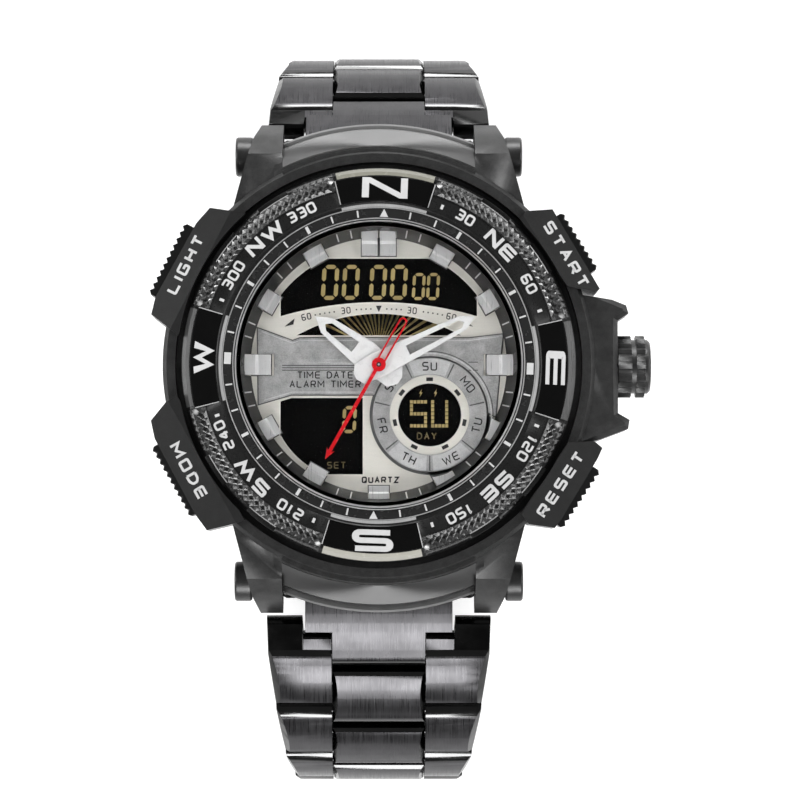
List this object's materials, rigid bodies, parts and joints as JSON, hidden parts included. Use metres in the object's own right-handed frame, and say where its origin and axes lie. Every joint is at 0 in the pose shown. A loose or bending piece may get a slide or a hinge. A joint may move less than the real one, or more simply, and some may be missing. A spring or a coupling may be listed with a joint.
{
  "type": "wristwatch",
  "caption": "Analogue-digital wristwatch with a turning compass bezel, guarded push buttons and a tapering steel link bracelet closed by a folding clasp.",
  "frame": {"origin": "middle of the clasp cover's flat underside, on which the closed watch stands", "axes": "+Z from the clasp up through the dial, +Y towards 12 o'clock, +X towards the crown at 3 o'clock"},
  "size_m": [0.0627, 0.0956, 0.0552],
  "materials": {
    "steel": "brushed gunmetal steel with polished edges",
    "dark_steel": "dark matt steel",
    "black_enamel": "gloss black",
    "seal_rubber": "matt",
    "crystal_glass": "clear mineral glass",
    "dial_cream": "brushed cream silver",
    "dial_grey": "grained silver grey",
    "marker_grey": "satin light grey",
    "hand_white": "gloss white",
    "hand_red": "gloss red",
    "lcd_black": "gloss black display",
    "movement_plastic": "moulded",
    "board_green": "circuit board",
    "brass": "turned",
    "battery_steel": "plated",
    "pin_steel": "polished"
  },
  "bodies": {
    "case": {"case_body": "steel", "pusher_guards": "dark_steel", "case_back": "steel", "case_gaskets": "seal_rubber", "case_back_screws": "pin_steel", "lug_bars": "pin_steel", "lug_spacers": "steel", "bezel_click_ring": "pin_steel", "crystal": "crystal_glass", "crystal_gasket": "seal_rubber", "inner_flange": "dial_grey", "dial_plate": "dial_cream", "hour_markers": "marker_grey", "bridge_plate": "dial_grey", "weekday_ring": "dial_grey", "lcd_panels": "lcd_black", "movement_holder": "movement_plastic", "movement_module": "movement_plastic", "circuit_board": "board_green", "battery": "battery_steel", "battery_clip": "brass", "crown_tube": "brass", "button_springs": "pin_steel"},
    "bezel": {"bezel_ring": "dark_steel", "bezel_tiles": "black_enamel", "bezel_tick_ring": "black_enamel"},
    "hour_hand": {"hour_hand": "hand_white", "hour_pipe": "brass"},
    "minute_hand": {"minute_hand": "hand_white", "cannon_pipe": "brass"},
    "second_hand": {"second_hand": "hand_red"},
    "crown_carrier": {"crown_seal": "seal_rubber"},
    "crown": {"crown": "steel", "crown_stem": "pin_steel"},
    "button_light": {"button_light": "steel"},
    "button_mode": {"button_mode": "steel"},
    "button_start": {"button_start": "steel"},
    "button_reset": {"button_reset": "steel"},
    "end_link_12": {"end_link_12": "steel"},
    "link_12_1": {"link_12_1": "steel"},
    "link_12_2": {"link_12_2": "steel"},
    "link_12_3": {"link_12_3": "steel"},
    "link_12_4": {"link_12_4": "steel"},
    "link_12_5": {"link_12_5": "steel"},
    "link_12_6": {"link_12_6": "steel"},
    "link_12_7": {"link_12_7": "steel"},
    "end_link_6": {"end_link_6": "steel"},
    "link_6_1": {"link_6_1": "steel"},
    "link_6_2": {"link_6_2": "steel"},
    "link_6_3": {"link_6_3": "steel"},
    "link_6_4": {"link_6_4": "steel"},
    "link_6_5": {"link_6_5": "steel"},
    "link_6_6": {"link_6_6": "steel"},
    "link_6_7": {"link_6_7": "steel"},
    "clasp_cover": {"clasp_cover": "steel", "clasp_pins": "pin_steel"},
    "clasp_long_blade": {"clasp_long_blade": "steel"},
    "clasp_short_blade": {"clasp_short_blade": "steel"},
    "clasp_button_right": {"clasp_button_right": "steel"},
    "clasp_button_left": {"clasp_button_left": "steel"}
  },
  "joints": [
    {"name": "bezel_turn", "type": "hinge", "parent": "case", "child": "bezel", "pos_m": [0, 0.01, 0.0503], "axis": [0, 0, 1], "continuous": true},
    {"name": "minute_hand_turn", "type": "hinge", "parent": "case", "child": "minute_hand", "pos_m": [0, 0.01, 0.052], "axis": [0, 0, -1], "continuous": true},
    {"name": "hour_hand_turn", "type": "hinge", "parent": "case", "child": "hour_hand", "pos_m": [0, 0.01, 0.0516], "axis": [0, 0, -1], "continuous": true},
    {"name": "second_hand_turn", "type": "hinge", "parent": "case", "child": "second_hand", "pos_m": [0, 0.01, 0.0524], "axis": [0, 0, -1], "continuous": true},
    {"name": "crown_pull", "type": "slide", "parent": "case", "child": "crown_carrier", "axis": [1, 0, 0], "range_m": [0, 0.001]},
    {"name": "crown_turn", "type": "hinge", "parent": "crown_carrier", "child": "crown", "pos_m": [0.03, 0.01, 0.0476], "axis": [1, 0, 0], "continuous": true},
    {"name": "button_light_press", "type": "slide", "parent": "case", "child": "button_light", "axis": [0.891, -0.454, 0], "range_m": [0, 0.0008], "stiffness_N_per_m": 400},
    {"name": "button_mode_press", "type": "slide", "parent": "case", "child": "button_mode", "axis": [0.8721, 0.4894, 0], "range_m": [0, 0.0008], "stiffness_N_per_m": 400},
    {"name": "button_start_press", "type": "slide", "parent": "case", "child": "button_start", "axis": [-0.848, -0.5299, 0], "range_m": [0, 0.0008], "stiffness_N_per_m": 400},
    {"name": "button_reset_press", "type": "slide", "parent": "case", "child": "button_reset", "axis": [-0.8339, 0.5519, 0], "range_m": [0, 0.0008], "stiffness_N_per_m": 400},
    {"name": "end_link_12_hinge", "type": "hinge", "parent": "case", "child": "end_link_12", "pos_m": [0, 0.037, 0.0444], "axis": [1, 0, 0], "range_deg": [0, 40]},
    {"name": "link_12_1_hinge", "type": "hinge", "parent": "end_link_12", "child": "link_12_1", "pos_m": [0, 0.04336, 0.03734], "axis": [1, 0, 0], "range_deg": [0, 5]},
    {"name": "link_12_2_hinge", "type": "hinge", "parent": "link_12_1", "child": "link_12_2", "pos_m": [0, 0.04841, 0.03051], "axis": [1, 0, 0], "range_deg": [0, 19]},
    {"name": "link_12_3_hinge", "type": "hinge", "parent": "link_12_2", "child": "link_12_3", "pos_m": [0, 0.05088, 0.02237], "axis": [1, 0, 0], "range_deg": [0, 27]},
    {"name": "link_12_4_hinge", "type": "hinge", "parent": "link_12_3", "child": "link_12_4", "pos_m": [0, 0.04928, 0.01403], "axis": [1, 0, 0], "range_deg": [0, 29]},
    {"name": "link_12_5_hinge", "type": "hinge", "parent": "link_12_4", "child": "link_12_5", "pos_m": [0, 0.04372, 0.0076], "axis": [1, 0, 0], "range_deg": [0, 26]},
    {"name": "link_12_6_hinge", "type": "hinge", "parent": "link_12_5", "child": "link_12_6", "pos_m": [0, 0.0359, 0.00427], "axis": [1, 0, 0], "range_deg": [0, 16]},
    {"name": "link_12_7_hinge", "type": "hinge", "parent": "link_12_6", "child": "link_12_7", "pos_m": [0, 0.02745, 0.00329], "axis": [1, 0, 0], "range_deg": [0, 3]},
    {"name": "end_link_6_hinge", "type": "hinge", "parent": "case", "child": "end_link_6", "pos_m": [0, -0.017, 0.0444], "axis": [-1, 0, 0], "range_deg": [0, 13]},
    {"name": "link_6_1_hinge", "type": "hinge", "parent": "end_link_6", "child": "link_6_1", "pos_m": [0, -0.02603, 0.04146], "axis": [-1, 0, 0], "range_deg": [0, 12]},
    {"name": "link_6_2_hinge", "type": "hinge", "parent": "link_6_1", "child": "link_6_2", "pos_m": [0, -0.03336, 0.03715], "axis": [-1, 0, 0], "range_deg": [0, 19]},
    {"name": "link_6_3_hinge", "type": "hinge", "parent": "link_6_2", "child": "link_6_3", "pos_m": [0, -0.03888, 0.03069], "axis": [-1, 0, 0], "range_deg": [0, 23]},
    {"name": "link_6_4_hinge", "type": "hinge", "parent": "link_6_3", "child": "link_6_4", "pos_m": [0, -0.04135, 0.02255], "axis": [-1, 0, 0], "range_deg": [0, 26]},
    {"name": "link_6_5_hinge", "type": "hinge", "parent": "link_6_4", "child": "link_6_5", "pos_m": [0, -0.03997, 0.01417], "axis": [-1, 0, 0], "range_deg": [0, 26]},
    {"name": "link_6_6_hinge", "type": "hinge", "parent": "link_6_5", "child": "link_6_6", "pos_m": [0, -0.03494, 0.00731], "axis": [-1, 0, 0], "range_deg": [0, 25]},
    {"name": "link_6_7_hinge", "type": "hinge", "parent": "link_6_6", "child": "link_6_7", "pos_m": [0, -0.02745, 0.00329], "axis": [-1, 0, 0], "range_deg": [0, 22]},
    {"name": "clasp_cover_hinge", "type": "hinge", "parent": "link_6_7", "child": "clasp_cover", "pos_m": [0, -0.019, 0.0024], "axis": [-1, 0, 0], "range_deg": [0, 6]},
    {"name": "clasp_long_blade_hinge", "type": "hinge", "parent": "clasp_cover", "child": "clasp_long_blade", "pos_m": [0, 0.014, 0.002], "axis": [-1, 0, 0], "range_deg": [0, 95]},
    {"name": "clasp_short_blade_hinge", "type": "hinge", "parent": "clasp_long_blade", "child": "clasp_short_blade", "pos_m": [0, -0.014, 0.0026], "axis": [1, 0, 0], "range_deg": [0, 80]},
    {"name": "clasp_button_right_press", "type": "slide", "parent": "clasp_cover", "child": "clasp_button_right", "axis": [-1, 0, 0], "range_m": [0, 0.0008], "stiffness_N_per_m": 400},
    {"name": "clasp_button_left_press", "type": "slide", "parent": "clasp_cover", "child": "clasp_button_left", "axis": [1, 0, 0], "range_m": [0, 0.0008], "stiffness_N_per_m": 400}
  ],
  "couplings": [
    {"joint": "hour_hand_turn", "follows": "minute_hand_turn", "ratio": 0.083333}
  ]
}
